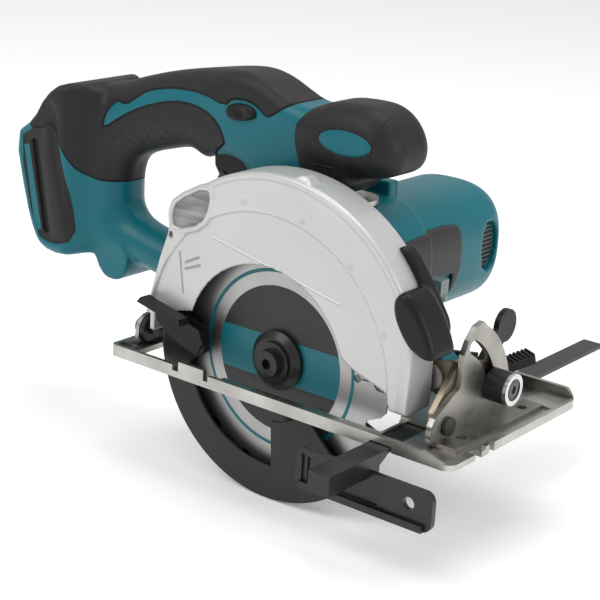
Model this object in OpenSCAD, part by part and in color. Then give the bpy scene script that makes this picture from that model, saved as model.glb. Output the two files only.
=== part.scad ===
// Cordless circular saw, 136 mm blade, with rip fence. Millimetres.
// +X is the cutting direction, +Y the motor side, +Z up. z = 0 is the sole of the base.
/* [Blade] */
// Diameter of the blade over its tips
blade_d = 136; // [130:1:137]
// Thickness of the blade's plate
blade_t = 1.2; // [1:0.1:1.3]
// Width cut by the tips
kerf = 1.8; // [1.5:0.1:2]
// Bore of the blade
blade_bore = 20; // [20:0.1:20.2]
// Number of teeth
teeth = 16; // [12:4:24]
// Height of the arbor above the sole at full depth
arbor_z = 17; // [17:0.1:17.2]
// Middle plane of the blade
blade_y = -35; // [-35.1:0.1:-34.9]

/* [Base] */
// Rear edge of the base plate
base_x0 = -95; // [-100:1:-95]
// Front edge of the base plate
base_x1 = 120; // [118:1:124]
// Width of the base plate
base_w = 118; // [118:1:122]
// Thickness of the base plate
base_t = 3; // [2.8:0.1:3.1]
// Height of the near flange
flange_h = 6.4; // [5:0.2:7]
// Near edge of the opening for the blade
slot_y0 = -47; // [-48:0.5:-47]
// Far edge of the opening for the blade
slot_y1 = -5; // [-6:0.5:-4.5]
// Height of the bevel pins, which lie in the blade's plane
bevel_z = 11; // [10.9:0.1:11.1]

/* [Depth hinge] */
// Place of the depth pin along the base
depth_x = 84; // [83.8:0.1:84.2]
// Height of the depth pin
depth_z = 28; // [27.8:0.1:28.2]
// Radius of the depth guide about the depth pin
guide_r = 150; // [149:0.5:151]
// Angle of the depth bolt below the pin, on the guide's arc, at full depth
guide_a = -4; // [-4.2:0.1:-3.8]

/* [Fence] */
// Rear edge of the fence arm
arm_x0 = 74.6; // [74.4:0.1:74.8]
// Front edge of the fence arm
arm_x1 = 86.6; // [86.4:0.1:86.8]
// Near face of the guide plate
fence_y = -75; // [-80:1:-74]
// Rear end of the guide plate
fence_x0 = 44; // [40:1:50]
// Front end of the guide plate
fence_x1 = 122; // [118:1:124]

/* [Drive] */
// Module of the fast gears
gear_m1 = 0.8; // [0.8:0.01:0.81]
// Teeth of the motor's pinion
pinion_n = 12; // [11:1:12]
// Teeth of the wheel it turns
wheel_n = 42; // [42:1:43]
// Module of the slow gears
gear_m2 = 1; // [0.99:0.01:1]
// Teeth of the small gear on the wheel's shaft
small_n = 17; // [16:1:17]
// Teeth of the spindle's gear
spindle_n = 27; // [27:1:28]
// Radius of the motor's housing
motor_r = 33; // [32:0.5:33.5]

/* [Case and guard] */
// Radius of the blade case
case_r = 89; // [88.5:0.1:89.2]
// Centre of the case's arc along the base
case_cx = 3; // [2.9:0.1:3.1]
// Height of the centre of the case's arc
case_cz = 26; // [25.9:0.1:26.2]
// Outer radius of the lower guard
guard_r = 73.4; // [73:0.1:73.6]

/* [Handle] */
// Radius of the grip's long arc
grip_R = 220; // [219:0.5:221]
// Half height of the grip
grip_h = 21; // [20:0.5:21.5]
// Half width of the grip
grip_w = 17; // [16.5:0.5:17.5]

/* [Hidden] */
$fn = 96;
half_w = base_w / 2;
ax = [0, arbor_z];
d2 = gear_m2 * (small_n + spindle_n) / 2;
d1 = gear_m1 * (pinion_n + wheel_n) / 2;
a2 = 79.2;
a1 = 79;
idler = ax + d2 * [cos(a2), sin(a2)];
motor = idler + d1 * [cos(a1), sin(a1)];
clamp_p = [depth_x - guide_r * cos(guide_a), depth_z + guide_r * sin(guide_a)];
bevel_r = 39.2;    // clamp bolt's distance from the bevel pin
bevel_a = 17;
bevel_p = [blade_y + bevel_r * cos(bevel_a), bevel_z + bevel_r * sin(bevel_a)];
grip_c = [-60, -93];

base_plate();
bevel_quadrant();
rear_ear();
bevel_pins();
fence_boss();
fence_arm();
fence_plate();
fence_screws();
fence_lever();
front_hinge();
depth_pin();
depth_guide();
bevel_bolt();
bevel_sleeve();
bevel_lever();
shell_right();
shell_left();
grip_rubber();
front_knob();
knob_inlay();
knob_collar();
battery_rails();
battery_terminals();
switch_body();
controller();
gear_housing();
blade_case();
case_screws();
front_shield();
motor_housing();
motor_cap();
side_panel();
lamp_lens();
stator_can();
magnets();
brush_holders();
brushes();
bearings();
depth_bolt();
depth_lever();
guard_stop();
armature_shaft();
rotor_core();
commutator();
fan();
idler_shaft();
idler_wheel();
spindle();
spindle_gear();
inner_flange();
blade();
blade_tips();
outer_flange();
blade_bolt();
lower_guard();
guard_lever();
guard_spring();
trigger();
lock_off();
shaft_lock();

// ---------- helpers ----------
// a profile in (x, z), running along Y from y0 to y1
module along_y(y0, y1) translate([0, y1, 0]) rotate([90, 0, 0]) linear_extrude(height = y1 - y0)
  children();
// a profile in (y, z), running along X from x0 to x1
module along_x(x0, x1) translate([x0, 0, 0]) rotate([90, 0, 90]) linear_extrude(height = x1 - x0) children();
// round bars along Y, X and Z, a box by its limits, and a circle at a point
module bar_y(p, r, y0, y1) translate([p[0], y1, p[1]]) rotate([90, 0, 0]) cylinder(h = y1 - y0, r = r);
module bar_x(p, r, x0, x1) translate([x0, p[0], p[1]]) rotate([0, 90, 0]) cylinder(h = x1 - x0, r = r);
module bar_z(x, y, r, z0, z1) translate([x, y, z0]) cylinder(h = z1 - z0, r = r);
module block(x0, x1, y0, y1, z0, z1) translate([x0, y0, z0]) cube([x1 - x0, y1 - y0, z1 - z0]);
module spot(p, r) translate(p) circle(r);
// cone along Y, radius ra at y0 and rb at y1
module cone_y(p, ra, rb, y0, y1)
  translate([p[0], y1, p[1]]) rotate([90, 0, 0]) cylinder(h = y1 - y0, r1 = rb, r2 = ra);
// a wedge of a disc, wide enough to cut a ring of radius r from angle a to angle b
module wedge(p, r, a, b)
  translate(p) polygon([[0, 0], for (i = [0:6]) let (t = a + (b - a) * i / 6) 1.5 * r * [cos(t), sin(t)]]);
module arc_band(p, ri, ro, a, b)
  intersection() { difference() { spot(p, ro); spot(p, ri); } wedge(p, ro, a, b); }
// straight web between two discs, a hair inside their common tangents
module web(p, r1, q, r2) {
  d = norm(q - p);
  t = atan2(q[1] - p[1], q[0] - p[0]);
  o = acos((r1 - r2) / d);
  e = 0.04;
  polygon([p + (r1 - e) * [cos(t + o), sin(t + o)], p + (r1 - e) * [cos(t - o), sin(t - o)],
           q + (r2 - e) * [cos(t - o), sin(t - o)], q + (r2 - e) * [cos(t + o), sin(t + o)]]);
}
module pair(p, r1, q, r2) { spot(p, r1); spot(q, r2); web(p, r1, q, r2); }

// involute spur gear, thinned so that it runs with backlash; the first tooth points along +x
function inv_pt(rb, t) = rb * [cos(t) + t * PI / 180 * sin(t), sin(t) - t * PI / 180 * cos(t)];
function turn(p, a) = [p[0] * cos(a) - p[1] * sin(a), p[0] * sin(a) + p[1] * cos(a)];
function gear_pts(n, m) = let (
  rp = n * m / 2, rb = rp * cos(20), ro = rp + 0.85 * m, rr = rp - 1.15 * m,
  tp = sqrt(pow(rp / rb, 2) - 1) * 180 / PI, ip = tp - 20, hw = 90 / n * 0.9,
  to = sqrt(pow(ro / rb, 2) - 1) * 180 / PI,
  t0 = rr > rb ? sqrt(pow(rr / rb, 2) - 1) * 180 / PI : 0,
  fl = [for (i = [0:3]) turn(inv_pt(rb, t0 + (to - t0) * i / 3), -hw - ip)],
  low = rr < rb ? [rr * [cos(-hw - ip), sin(-hw - ip)]] : [],
  one = concat(low, fl, [for (i = [3:-1:0]) [fl[i][0], -fl[i][1]]],
               [for (p = low) [p[0], -p[1]]])
) [for (k = [0:n - 1]) each [for (p = one) turn(p, 360 * k / n)]];
module gear(n, m, at, a) translate(at) rotate(a) polygon(gear_pts(n, m));

// ---------- base ----------
module base_plate() color([0.72, 0.72, 0.7]) difference() {
  union() {
    block(base_x0, base_x1, -half_w, half_w, 0, base_t);
    // upturned side flanges, sloped at their ends
    along_y(-half_w, -half_w + 2.4) polygon([[base_x0, 0], [base_x1, 0], [base_x1, 1.5],
      [base_x1 - 16, flange_h], [base_x0 + 1, flange_h]]);
    along_y(half_w - 2.4, half_w) polygon([[base_x0, 0], [base_x1, 0], [base_x1, 4],
      [base_x1 - 6, flange_h + 2.6], [base_x0, flange_h + 2.6]]);
    // rear wall, higher where the ear stands
    block(base_x0, base_x0 + 2.4, -half_w, half_w, 0, flange_h);
    // rolled front lip and stiffening ribs
    block(base_x1 - 2.4, base_x1, -half_w + 30, half_w, 0, 4.6);
    block(101, 117, 37, 54, base_t, base_t + 1.2);
    block(base_x0 + 8, 70, 17, 22, base_t, base_t + 1.2);
    block(base_x0 + 8, 70, 36, 42, base_t, base_t + 1.2);
    // straps over the fence arm
    block(arm_x0 - 6, arm_x1 + 6, -28, -14, base_t, base_t + 2);
    block(arm_x0 - 6, arm_x1 + 6, 30, 44, base_t, base_t + 2);
    // raised tab on the near flange
    block(-47, -30, -half_w, -half_w + 2.4, 0, flange_h + 2.4);
  }
  // opening for the blade, guard and gear housing
  block(-84, 66, slot_y0, slot_y1, -1, 9);
  block(-84, -26, -53, slot_y0 + 1, -1, 9);
  block(65, 72.4, slot_y0, -29, -1, base_t + 0.01);
  // room for the guard's tip when the saw is tilted
  block(65, 70.6, -29.01, -10, -1, 9);
  bar_z((arm_x0 + arm_x1) / 2, 37, 2.56, 0, 30);
  // channel for the fence arm, open at both sides
  block(arm_x0 - 0.3, arm_x1 + 0.3, -half_w - 1, half_w + 1, -1, 3.01);
  // notch for the guard lever's foot beside the tab
  block(-51, -47, -half_w - 1, -half_w + 3, 3.4, 20);
  block(-30, -27, -half_w - 1, -half_w + 3, 3.4, 20);
  // sighting notches for 0 and 45 degrees
  block(base_x1 - 4, base_x1 + 1, -38, -32.5, -1, 9);
  block(base_x1 - 3, base_x1 + 1, -26, -21.5, -1, 9);
  // rounded corners
  for (s = [-1, 1]) corner_cut(base_x1, s * half_w, 6, s);
  for (s = [-1, 1]) rear_corner(base_x0, s * half_w, 3, s);
}
module corner_cut(x, y, r, s) difference() {
  translate([x - r, s > 0 ? y - r : y - 1, -2]) cube([r + 1, r + 1, 20]);
  bar_z(x - r, y - s * r, r, -3, 19);
}
module rear_corner(x, y, r, s) difference() {
  translate([x - 1, s > 0 ? y - r : y - 1, -2]) cube([r + 1, r + 1, 20]);
  bar_z(x + r, y - s * r, r, -3, 19);
}

// front bevel bracket: an upright in the YZ plane with a curved slot, and a foot on the base
module bevel_quadrant() color([0.55, 0.55, 0.53]) difference() {
  union() {
    along_x(98.4, 101.4) difference() {
      union() {
        polygon([[-43, base_t], [-48, 9], [-48.5, 14], [-46, 17.5], [-33, 24.5], [-26, 27.5], [-25, 33],
          [-25, 43.5], [-21.5, 50], [-16, 55.6], [-9.5, 57],
          for (i = [0:9]) [blade_y, bevel_z] + (52 + 0.35 * i) * [cos(56 - 5 * i), sin(56 - 5 * i)],
          [20, base_t]]);
        spot([-43, 9], 6);
      }
      arc_band([blade_y, bevel_z], bevel_r - 3.6, bevel_r + 3.6, bevel_a - 1, bevel_a + 45.6);
      for (a = [bevel_a - 1, bevel_a + 45.6])
        spot([blade_y, bevel_z] + bevel_r * [cos(a), sin(a)], 3.5);
      spot([blade_y, bevel_z], 3.02);
    }
    // foot, bent forward
    difference() {
      block(101.3, 113, -44, 36, base_t, base_t + 2.2);
      for (s = [0, 1]) bar_z(107, s ? 25 : -30, 2.6, 0, 9);
    }
  }
}
module rear_ear() color([0.7, 0.7, 0.68]) {
  difference() {
    union() {
      along_x(-92.5, -90) {
        spot([blade_y, bevel_z], 7.9);
        polygon([[-44, base_t], [-26, base_t], [-27.2, bevel_z], [-42.8, bevel_z]]);
      }
      block(-92.5, -86, -52, -48, base_t, base_t + 2);
      block(-92.5, -90, -52, -20, base_t, 7);
    }
    bar_x([blade_y, bevel_z], 3.02, -93, -89);
  }
}
// the two pins the tilting frame turns on, fixed in the base's ears
module bevel_pins() color([0.75, 0.75, 0.74]) {
  bar_x([blade_y, bevel_z], 3, -94.5, -84.5);
  bar_x([blade_y, bevel_z], 4.4, -96.3, -92.6);
  bar_x([blade_y, bevel_z], 3, 93, 101.6);
  bar_x([blade_y, bevel_z], 4.6, 101.6, 103.4);
}
// threaded boss that carries the fence clamp, on a strap over the arm
module fence_boss() color([0.5, 0.5, 0.48]) difference() {
  union() {
    block(arm_x0 - 5, arm_x1 + 5, 31, 43, base_t + 2, base_t + 5);
    bar_z((arm_x0 + arm_x1) / 2, 37, 5.5, base_t + 2, base_t + 8);
  }
  bar_z((arm_x0 + arm_x1) / 2, 37, 2.56, 0, 30);
}
module fence_arm() color([0.2, 0.2, 0.21]) difference() {
  union() {
    block(arm_x0, arm_x1, -106, 149, 0.4, 2.5);
    // downturned skirts of the near end
    block(arm_x0, arm_x0 + 1.6, -106, -67, -7.5, 2.4);
    block(arm_x1 - 1.6, arm_x1, -106, -67, -7.5, 2.4);
    block(arm_x0, arm_x1, -106, -103.6, -7.5, 2.4);
    block(arm_x0, arm_x1, -78, -71, -7.5, 2.4);
  }
  bar_y([(arm_x0 + arm_x1) / 2, -3.6], 1.7, -80, -70);
}
module fence_plate() color([0.17, 0.17, 0.18]) difference() {
  union() {
    along_y(fence_y, fence_y + 3) rounded_plate();
    // thicker lip along the lower edge, towards the guided side
    block(fence_x0 + 3, fence_x1 - 4, fence_y - 2, fence_y + 0.5, -24.5, -21);
    block(fence_x0 + 3, fence_x0 + 4.4, fence_y - 1.2, fence_y + 0.5, -24, -8);
  }
  block(arm_x0 - 0.1, arm_x1 + 0.1, fence_y - 4, fence_y + 6, -7.6, 0);
  bar_y([109, -13], 3.2, fence_y - 4, fence_y + 6);
  // pocket around the root of the arm
  block(fence_x0 + 7, 92, fence_y - 0.1, fence_y + 1, -20, -8);
}
module rounded_plate() {
  r = 5;
  for (x = [fence_x0 + r, fence_x1 - r]) for (z = [-24.5 + r, -4.6 - r]) spot([x, z], r);
  polygon([[fence_x0 + r, -24.5], [fence_x1 - r, -24.5], [fence_x1 - r, -4.6], [fence_x0 + r, -4.6]]);
  polygon([[fence_x0, -24.5 + r], [fence_x1, -24.5 + r], [fence_x1, -4.6 - r], [fence_x0, -4.6 - r]]);
}
module fence_screws() color([0.6, 0.6, 0.6]) {
  bar_y([(arm_x0 + arm_x1) / 2, -3.6], 1.68, -79.9, -70.1);
}
// ribbed thumb lever on a screw that presses the arm down
module fence_lever() color([0.12, 0.12, 0.13]) {
  bar_z((arm_x0 + arm_x1) / 2, 37, 2.5, 2.56, 17);
  difference() {
    union() {
      bar_z((arm_x0 + arm_x1) / 2, 37, 5.2, 11.2, 17);
      translate([(arm_x0 + arm_x1) / 2, 37, 14]) rotate([0, -14, 62])
        translate([0, -4.6, -2.4]) cube([24, 9.2, 5.6]);
    }
    for (i = [0:5]) translate([(arm_x0 + arm_x1) / 2, 37, 14]) rotate([0, -14, 62])
      translate([10 + 2.4 * i, -6, 2.5]) cube([1.1, 12, 3]);
    bar_z((arm_x0 + arm_x1) / 2, 37, 2.52, 10, 16);
  }
}

// ---------- tilting frame ----------
module front_hinge() color([0.5, 0.44, 0.37]) difference() {
  union() {
    // plate behind the quadrant
    along_x(95.1, 98.1) difference() {
      union() {
        spot([blade_y, bevel_z], 7.5);
        polygon([[-42.5, bevel_z], [-42.5, 18], [-24, 39], [-16, 40], [-2, 34], [11, 31], [12, 14], [-24, 5],
          [blade_y, 4]]);
      }
      spot([blade_y, bevel_z], 3.05);
      spot(bevel_p, 3.05);
    }
    // two ears along X, either side of the saw's front lug
    for (y = [-22.4, -4.4]) along_y(y, y + 2.4) {
      spot([depth_x, depth_z], 8);
      polygon([[depth_x, depth_z - 8], [95.2, 16], [95.2, 38], [depth_x, depth_z + 8]]);
    }
  }
  bar_y([depth_x, depth_z], 4.02, -30, 5);
}
module depth_pin() color([0.74, 0.74, 0.73]) {
  bar_y([depth_x, depth_z], 4, -24.4, -0.4);
  bar_y([depth_x, depth_z], 6, -24.45, -22.45);
  bar_y([depth_x, depth_z], 5.4, -0.45, 1);
}
// rear plate on the bevel pin, bent into an upright arc beside the case
module depth_guide() color([0.16, 0.16, 0.17]) difference() {
  union() {
    along_x(-89.7, -87.3) {
      spot([blade_y, bevel_z], 7.6);
      polygon([[blade_y, 4.5], [-19, 4.5], [-19, 19], [blade_y, 19.2]]);
    }
    along_y(-21.4, -19) {
      polygon([[-89.7, 4.5], [-60, 4.5], [-60, 12], [-76, 19], [-89.7, 19]]);
      arc_band([depth_x, depth_z], guide_r - 8, guide_r + 8, 180 - 28, 184 - guide_a);
    }
  }
  bar_x([blade_y, bevel_z], 3.05, -91, -86);
  along_y(-23, -17) {
    arc_band([depth_x, depth_z], guide_r - 3.2, guide_r + 3.2, 180 - 24.4, 180.4 - guide_a);
    for (a = [guide_a - 0.4, 24.4]) spot([depth_x - guide_r * cos(a), depth_z + guide_r * sin(a)], 3.1);
  }
}
module bevel_bolt() color([0.8, 0.8, 0.8]) {
  bar_x(bevel_p, 3, 89.8, 113.2);
  difference() {
    bar_x(bevel_p, 8, 112.2, 114.2);
    bar_x(bevel_p, 5.6, 113.2, 115);
  }
  along_x(113.2, 113.9) difference() { spot(bevel_p, 4.4); spot(bevel_p, 2); }
}
module bevel_sleeve() color([0.2, 0.2, 0.2]) difference() {
  bar_x(bevel_p, 8.2, 101.7, 112.2);
  bar_x(bevel_p, 3.02, 101, 113);
}
// clamp lever behind the quadrant, threaded on the bolt
module bevel_lever() color([0.1, 0.1, 0.11]) difference() {
  union() {
    bar_x(bevel_p, 4.2, 90, 94.8);
    along_x(90, 93) {
      polygon([bevel_p + [-1.2, 4], bevel_p + [4, -1], [33, 41], [24, 49]]);
      spot([27.5, 44], 8.5);
    }
  }
  bar_x(bevel_p, 3.04, 88, 96);
}

// ---------- handle shells ----------
module oval(h, w) scale([h, w]) circle(1);
// arc of the grip from angle a to b about its far centre, with oval section
module grip_arc(h, w, a, b) translate([grip_c[0], 0, grip_c[1]]) rotate([90, 0, 0])
  rotate([0, 0, a]) rotate_extrude(angle = b - a) translate([grip_R, 0]) oval(h, w);
// straight oval bar between two points of the (x, z) plane
module oval_bar(p, q, h, w) {
  d = norm(q - p);
  t = atan2(q[1] - p[1], q[0] - p[0]);
  translate([p[0], 0, p[1]]) rotate([0, 90 - t, 0]) linear_extrude(height = d) oval(h, w);
}
module ball(p, r, w) translate([p[0], 0, p[1]]) scale([1, w / r, 1]) sphere(r);
module rear_profile() polygon([[-203, 97], [-188, 107], [-180, 121], [-169, 129.5], [-153, 130], [-146, 118],
  [-146, 36.5], [-167, 33], [-180, 34.3], [-187, 41.6], [-194, 59]]);
module shell_solid() {
  difference() {
    along_y(-32, 32) rear_profile();
    // waist between the battery mount and the grip column
    for (s = [-1, 1]) along_y(s > 0 ? 19 : -40, s > 0 ? 40 : -19)
      polygon([[-163, 140], [-157, 30], [-130, 30], [-130, 140]]);
    for (s = [-1, 1]) translate([-168, s * 32, 60]) rotate([0, -4, 0]) translate([0, 0, -40])
      rotate([0, 0, 45]) cube([11, 11, 140], center = false);
  }
  grip_arc(grip_h, grip_w, 84, 113);
  oval_bar([-151, 50], [-150, 110], 17.5, 17.2);
  ball([-149.5, 109], 20.5, 17.3);
  oval_bar([-151, 48], [-12, 29.5], 12.2, 15.6);
  along_y(-14.5, 14.5) front_web();
  // lower boss under the beam
  bar_y([-138, 35], 13, -15, 15);
}
// tongue that joins the grip to the gear housing
module front_web() polygon([[-76, 105], [-63, 107], [-50, 106], [-44, 101], [-43, 86], [-38, 70], [-30, 62], [-8, 80], [16, 96],
  [14, 112], [-4, 141], [-20, 142.5], [-37, 149], [-60, 146], [-80, 140]]);
module shell_hollow() {
  // battery socket, open to the rear
  block(-210, -176, -25, 25, 47, 104);
  // room for the switch, trigger and wiring
  block(-84, -30, -10.6, 10.6, 108, 140);
  block(-84, -42, -7.2, 7.2, 80, 110);
  along_y(-9, 9) polygon([[-172, 60], [-146, 60], [-146, 112], [-84, 128], [-84, 118], [-134, 106],
    [-138, 52], [-172, 48]]);
  block(-177, -160, -9, 9, 60, 100);
  // lock-off button's bore, right through
  bar_y([-49, 131], 6.05, -40, 40);
  // depth bolt
  bar_y(clamp_p, 3.52, -40, 40);
  // seat for the gear housing and motor
  along_y(-40, 40) { housing_outer_far(0.03); housing_outer_near(0.03); }
  block(1.97, 60, -40, 40, 60, 160);
  // knob, its neck and the rubber skin are separate pieces
  block(-3.95, 60, -40, 40, 99, 160);
  skin_cut();
}
module skin_cut() difference() {
  grip_arc(grip_h + 1, grip_w + 1, 92.5, 113.5);
  grip_arc(grip_h - 2.6, grip_w - 2.6, 92, 114);
}
// one half of the handle; the two halves mirror each other
module half_shell() {
  difference() {
    intersection() { shell_solid(); block(-215, 40, 0.01, 40, 0, 170); }
    shell_hollow();
    rail_room();
  }
  // half of the trigger's pin
  bar_y(trigger_p, 1.5, 0.01, 11);
}
module shell_right() color([0, 0.45, 0.5]) mirror([0, 1, 0]) half_shell();
module shell_left() color([0, 0.45, 0.5]) half_shell();
module rail_form() polygon([[-200, 96], [-186, 105], [-164, 108], [-164, 40], [-184, 42], [-191, 60]]);
module rail_room() for (s = [-1, 1]) along_y(s > 0 ? 28 : -33, s > 0 ? 33 : -28) rail_form();
module grip_rubber() color([0.13, 0.13, 0.14]) difference() {
  grip_arc(grip_h - 0.02, grip_w - 0.02, 92.6, 113.4);
  grip_arc(grip_h - 2.58, grip_w - 2.58, 92, 114);
  block(-170, -130, -40, 40, 60, 112);
  block(-90, -60, -7.2, 7.2, 80, 118);
  along_y(-40, 40) rear_profile();
  oval_bar([-151, 50], [-150, 110], 17.6, 17.3);
  ball([-149.5, 109], 20.6, 17.4);
}
module knob_form(e) {
  translate([14, 0, 129.5]) scale([35 - e, 21 - e, 18.5 - e]) sphere(1);
  translate([2, 0, 129]) scale([20 - e, 20 - e, 17 - e]) sphere(1);
}
module front_knob() color([0.12, 0.12, 0.13]) difference() {
  union() {
    difference() { knob_form(0); block(-60, -3.9, -14.6, 14.6, 90, 160); block(-60, -15, -40, 40, 90, 160); }
    translate([14, 0, 98.65]) scale([1, 1.2, 1]) cylinder(h = 20, r = 9.5);
  }
  bar_z(14, 0, 3, 90, 122);
  translate([21, -21, 130]) rotate([90, 0, 0]) scale([15.1, 6.6, 1]) cylinder(h = 12, r = 1, center = true);
}
module knob_inlay() color([0, 0.5, 0.55]) intersection() {
  difference() { knob_form(0.02); knob_form(3); }
  translate([21, -21, 130]) rotate([90, 0, 0]) scale([15, 6.5, 1]) cylinder(h = 11.9, r = 1, center = true);
}
module knob_collar() color([0.75, 0.75, 0.75]) difference() {
  translate([14, 0, 96]) scale([1, 1.15, 1]) cylinder(h = 2.6, r = 11.9);
  bar_z(14, 0, 3, 90, 122);
}
module battery_rails() color([0.1, 0.1, 0.11]) {
  for (t = [-1, 1]) difference() {
    along_y(t > 0 ? 28.02 : -31.9, t > 0 ? 31.9 : -28.02) offset(delta = -0.05) rail_form();
    for (x = [-190, -180]) block(x, x + 3, t > 0 ? 30.4 : -33, t > 0 ? 33 : -30.4, 50, 96);
  }
  // rails inside the socket
  for (t = [-1, 1]) block(-190, -178, t > 0 ? 21.8 : -25, t > 0 ? 25 : -21.8, 50, 101);
}
module battery_terminals() color([0.8, 0.6, 0.2]) {
  block(-176.9, -173, -8.9, 8.9, 62, 96);
  for (y = [-7.5, -2.5, 2.5, 7.5]) block(-192, -176.8, y - 0.5, y + 0.5, 66, 92);
}
module switch_body() color([0.15, 0.15, 0.16]) difference() {
  block(-80, -56.4, -10.55, 10.55, 117.5, 133);
  bar_y([-66, 120], 1.5, -12, 12);
}
module controller() color([0.1, 0.3, 0.15]) block(-170, -162, -8, 8, 64, 96);

// ---------- housings ----------
module housing_outer_near(e) pair(ax, 16.5 + e, motor, 30 + e);
module housing_outer_far(e) { pair(idler, 22 + e, motor, motor_r + e); pair(ax, 12.8 + e, idler, 22 + e); }
module gear_housing() color([0, 0.42, 0.47]) difference() {
  union() {
    along_y(-25, -7) housing_outer_near(0);
    along_y(-7.01, 16) housing_outer_far(0);
    bar_y(ax, 15.5, -30.2, -24.9);
    // front lug on the depth pin
    along_y(-19.2, -7.01) {
      spot([depth_x, depth_z], 7.4);
      polygon([[20, 84], [56, 62], [88.5, 34], [84, 20.7], [70, 27], [30, 40]]);
    }
    // seat of the front knob
    block(2, 27, -13, 13, 84, 95.95);
  }
  bar_y(ax, 11, -24.5, -17.8);
  bar_y(ax, 7, -31, -24);
  bar_y(ax, 6.2, -18, 0);
  along_y(-17.6, -7.2) { pair(ax, 14.9, idler, 10.6); }
  bar_y(ax, 9.5, -7.3, -1);
  bar_y(idler, 8, -24, -17);
  bar_y(idler, 5.2, -18, 10);
  along_y(-0.2, 9.01) pair(idler, 18.4, motor, 6.6);
  bar_y(idler, 8, 9, 14);
  bar_y(motor, 9.5, 9, 17);
  bar_y([depth_x, depth_z], 4.05, -20, -4);
  bar_z(14, 0, 3, 80, 97);
  // shaft lock's bore
  bar_x([-16.3, arbor_z], 1.2, 8, 30);
  for (p = case_bolts) bar_y(p, 2.1, -26, -19);
  // joint face between the gear case and its cover
  block(-60, 120, -7.02, -7, -20, 140);
}
module case_outline(e) {
  difference() {
    spot([case_cx, case_cz], case_r - e);
    polygon([[85.5 - e, -80], [120, -80], [120, 130], [85.5 - e, 130]]);
    polygon([[-66 + e, 140], [-66 + e, 84], [-68 + e, 71], [-73 + e, 57], [-78 + e, 39], [-82 + e, 25],
      [-82.5 + e, 10], [-120, 10], [-120, 140]]);
    translate([-100, -100]) square([220, 114]);
  }
}
module blade_case() color([0.8, 0.8, 0.79]) difference() {
  union() {
    // near wall, with a stepped rim
    along_y(-47, -44.5) difference() {
      case_outline(0.4);
      spot([-3, arbor_z], 50);
      polygon([[-100, -10], [-100, 24], [-84, 24], [-44, 34], [-20, -10]]);
      polygon([[30, -10], [46, 31], [54, 27], [66, 24], [76, 20], [76, -10]]);
    }
    along_y(-48.2, -46) difference() { case_outline(0); case_outline(5); low_cut(); }
    // band over the blade
    along_y(-47, -25) difference() { case_outline(0.4); case_outline(3); low_cut(); }
    // far wall
    along_y(-27.5, -25) difference() {
      case_outline(0.4);
      spot(ax, 15.6);
      polygon([[-100, -10], [-100, 20], [-20, 20], [-12, 10], [12, 10], [20, 20], [60, 20], [60, -10]]);
    }
    // dust outlet boss and the lamp bump on the crest
    along_y(-47, -44) polygon([[-65.6, 84], [-64, 88], [-48, 99], [-40, 98],
      [-46, 82], [-60, 74], [-67.4, 72]]);
    bar_y([15, 113], 5, -46, -38);
  }
  // recess of the dust outlet
  along_y(-49, -45.6) polygon([[-62.5, 84], [-46, 95], [-43.4, 83], [-47, 77], [-62.5, 76]]);
  // small blind marks round the rim, and the screw hole at the rear
  for (p = [[-18.5, 98], [18, 95.5], [48, 79.5], [70, 51]]) bar_y(p, 1.3, -48, -46.2);
  bar_y([-63.5, 71], 1.55, -49, -44);
  for (p = case_bolts) { bar_y(p, 2.1, -30, -20); bar_y(p, 3.65, -30, -26.3); }
  bar_y(stop_p, 3, -30, -20);
  // joint face between the cast case and its back plate
  block(-100, 100, -27.52, -27.5, 0, 130);
}
stop_p = ax + 24 * [cos(47.3), sin(47.3)];
module low_cut() polygon([[-100, -10], [-100, 20], [-70, 20], [-60, -10]]);
case_bolts = [[26, 44], [-14, 62], [28, 76]];
module case_screws() color([0.25, 0.25, 0.26]) for (p = case_bolts) {
  bar_y(p, 2.08, -26.4, -19.2);
  bar_y(p, 3.6, -27.5, -26.32);
}
// black plastic leaf on the front of the case
module front_shield() color([0.1, 0.1, 0.11]) {
  along_y(-49.8, -30) difference() {
    polygon([[70, 90], [78, 78], [83, 70], [89, 60], [94, 52], [98, 46], [89, 45], [86.2, 45], [85.6, 40],
      [86, 60], [80, 74]]);
    difference() { spot([case_cx, case_cz], case_r + 0.05); translate([85.55, -20]) square([40, 200]); }
    polygon([[60, 30], [85.55, 30], [85.55, 62], [60, 62]]);
  }
  along_y(-49.8, -48.25) intersection() {
    spot([case_cx, case_cz], case_r + 2);
    polygon([[74, 71], [81, 74.6], [92, 56], [94, 47.4], [84.6, 49.2], [79.5, 55.3], [74.8, 63.9]]);
  }
}
module motor_housing() color([0, 0.42, 0.47]) difference() {
  union() {
    bar_y(motor, motor_r, 16.02, 104);
    // flat pad round the side vent, and a pad for the panel
    along_y(70, 103) polygon([[motor[0], motor[1] + 12], [motor[0] + motor_r + 0.6, motor[1] + 10],
      [motor[0] + motor_r + 0.6, motor[1] - 10], [motor[0], motor[1] - 12]]);
  }
  bar_y(motor, 29.8, 18, 29.9);
  bar_y(motor, 25.52, 29.8, 66.1);
  bar_y(motor, 27, 66, 92);
  bar_y(motor, 9.5, 91.9, 98.6);
  bar_y(motor, 9.5, 15, 19);
  // rear bearing plate with a bore, behind the commutator
  bar_y(motor, 5, 95, 105);
  for (a = [0:45:315]) bar_y(motor + 18 * [cos(a), sin(a)], 4.4, 91, 105);
  // oval side vent
  translate([motor[0] + 30, 91, motor[1] + 3]) rotate([0, 90, 0])
    scale([9, 5, 1]) cylinder(h = 20, r = 1, center = true);
  // front flat for the side panel
  along_y(15, 46) translate([motor[0] + 26, 30]) square([34, 60]);
}
module motor_cap() color([0, 0.42, 0.47]) difference() {
  cone_y(motor, 32, 26.5, 104.02, 110);
  bar_y(motor, 25, 104, 107.6);
  for (a = [0:30:330]) bar_y(motor + 16 * [cos(a), sin(a)], 2.2, 103, 111);
}
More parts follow.
